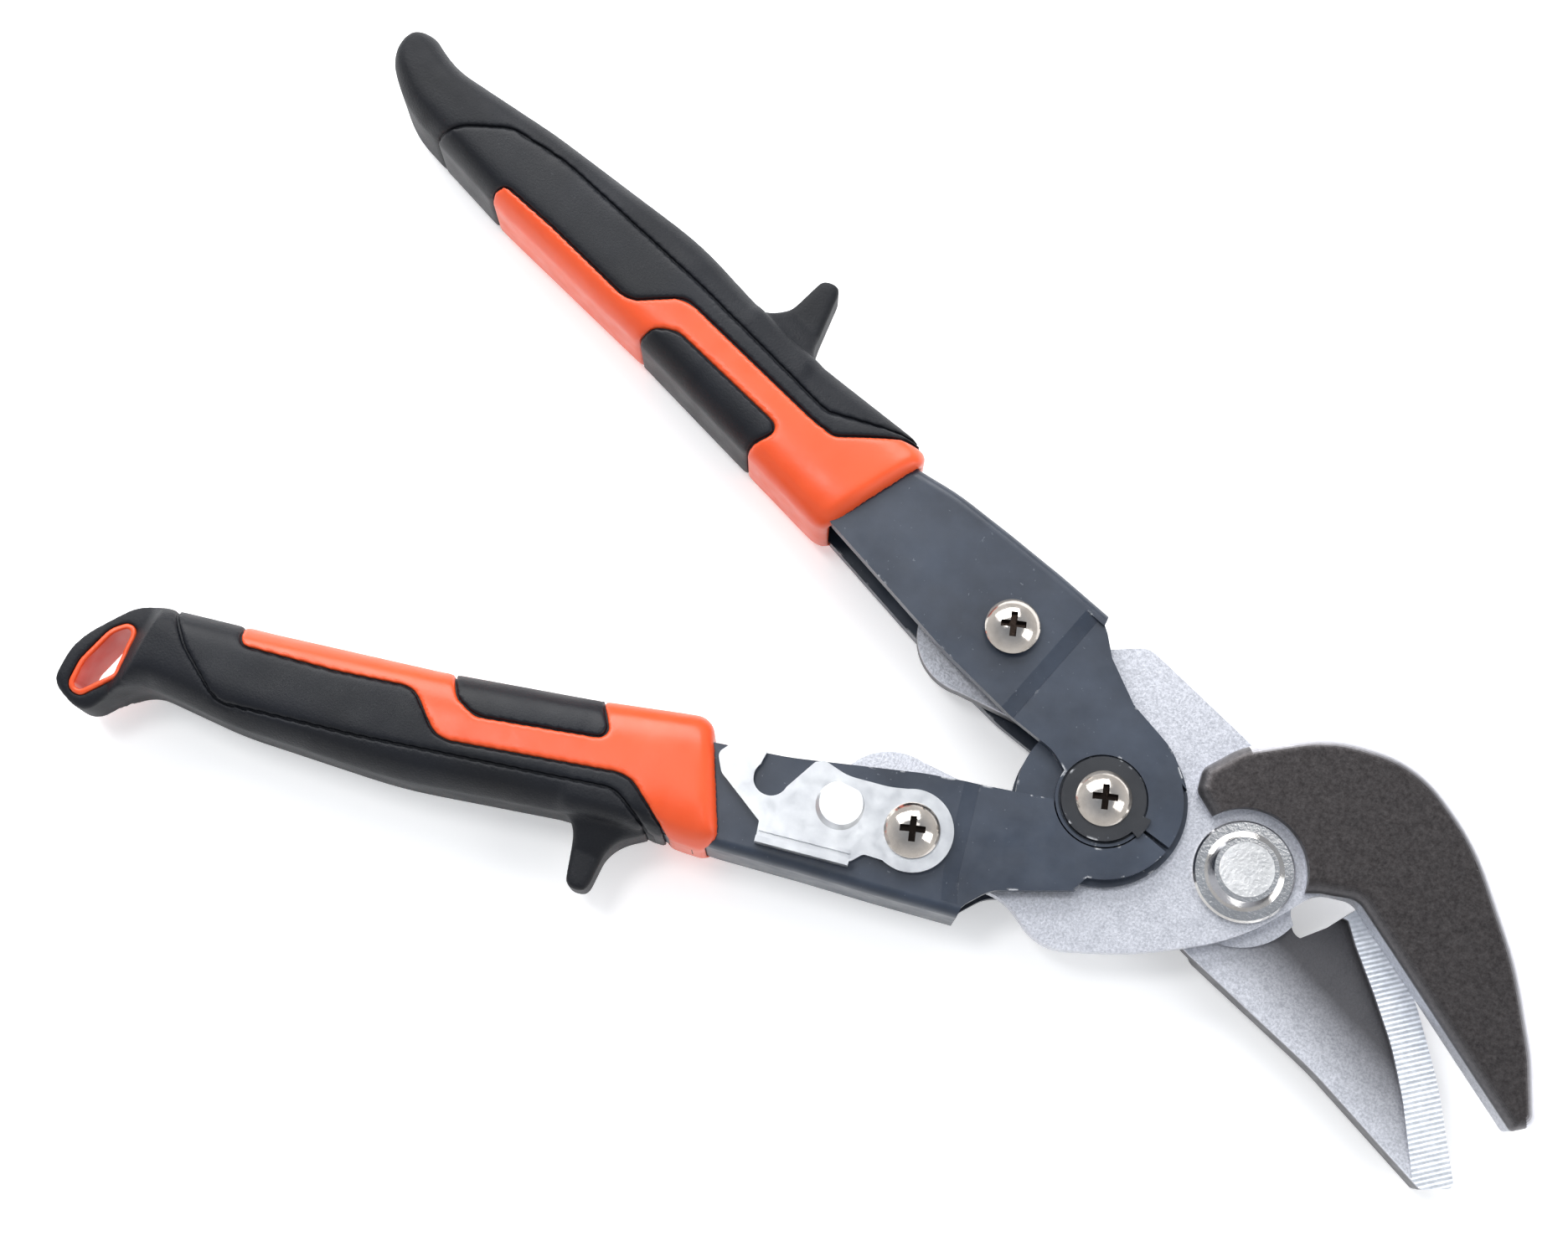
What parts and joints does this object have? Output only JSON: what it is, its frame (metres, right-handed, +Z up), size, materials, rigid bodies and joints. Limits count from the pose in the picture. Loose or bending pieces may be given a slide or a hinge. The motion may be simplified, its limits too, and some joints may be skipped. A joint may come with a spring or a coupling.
{
  "type": "aviation snips",
  "caption": "Offset compound-action aviation snips: hooked upper jaw, straight lower blade, two-tone grips and a swinging latch.",
  "frame": {"origin": "centre of the pivot bolt head's flat underside, where the tool rests on the bench", "axes": "+Z up from the bench along every pivot; +X from the handle pivot through the main pivot to the jaws; +Y towards the upper handle"},
  "size_m": [0.2506, 0.132, 0.0227],
  "materials": {
    "black_paint": "semi-gloss blue-black paint",
    "forged_steel": "fine blasted grey steel",
    "nickel_plate": "polished nickel plate",
    "plain_steel": "machined steel",
    "zinc_plate": "bright zinc plate",
    "spring_steel": "oiled spring wire",
    "black_rubber": "matte grained soft grip",
    "black_panel": "matte soft grip",
    "orange_plastic": "satin orange-red plastic"
  },
  "bodies": {
    "lower_handle": {"lower_handle_frame": "black_paint", "lower_grip_rubber": "black_rubber", "lower_grip_panel": "black_panel", "lower_grip_core": "orange_plastic", "lower_grip_finger_pad": "black_panel", "hang_loop_liner": "orange_plastic", "lower_link_screw": "nickel_plate", "lower_link_nut": "plain_steel", "lower_link_bush": "plain_steel", "lower_link_spacers": "plain_steel", "handle_pivot_screw": "nickel_plate", "handle_pivot_nut": "plain_steel", "handle_pivot_bush": "plain_steel", "tab_washer": "black_paint"},
    "upper_handle": {"upper_handle_frame": "black_paint", "upper_grip_rubber": "black_rubber", "upper_grip_panel": "black_panel", "upper_grip_core": "orange_plastic", "upper_grip_finger_pad": "black_panel", "upper_link_screw": "nickel_plate", "upper_link_nut": "plain_steel", "upper_link_bush": "plain_steel", "upper_link_spacers": "plain_steel", "return_spring": "spring_steel"},
    "hook_jaw_body": {"hook_jaw": "forged_steel", "pivot_bolt": "plain_steel", "pivot_nut": "nickel_plate", "pivot_washer": "plain_steel"},
    "lower_jaw_body": {"lower_jaw": "forged_steel"},
    "latch_body": {"latch": "zinc_plate"}
  },
  "joints": [
    {"name": "handle_pivot", "type": "hinge", "parent": "lower_handle", "child": "upper_handle", "pos_m": [-0.02586, 0, 0.01075], "axis": [0, 0, 1], "range_deg": [0, 27.8], "stiffness_Nm_per_rad": 0.3, "springref_deg": -34.38},
    {"name": "lower_link_pivot", "type": "hinge", "parent": "lower_handle", "child": "hook_jaw_body", "pos_m": [-0.05162, -0.01899, 0.01075], "axis": [0, 0, 1], "range_deg": [0, 6.64]},
    {"name": "main_pivot", "type": "hinge", "parent": "hook_jaw_body", "child": "lower_jaw_body", "pos_m": [0, 0, 0.01075], "axis": [0, 0, 1], "range_deg": [0, 14.56]},
    {"name": "latch_pivot", "type": "hinge", "parent": "lower_handle", "child": "latch_body", "pos_m": [-0.05162, -0.01899, 0.01075], "axis": [0, 0, 1], "range_deg": [-82.1, 0]}
  ],
  "couplings": [
    {"joint": "lower_link_pivot", "follows": "handle_pivot", "ratio": 0.2385},
    {"joint": "main_pivot", "follows": "handle_pivot", "ratio": 0.523}
  ]
}
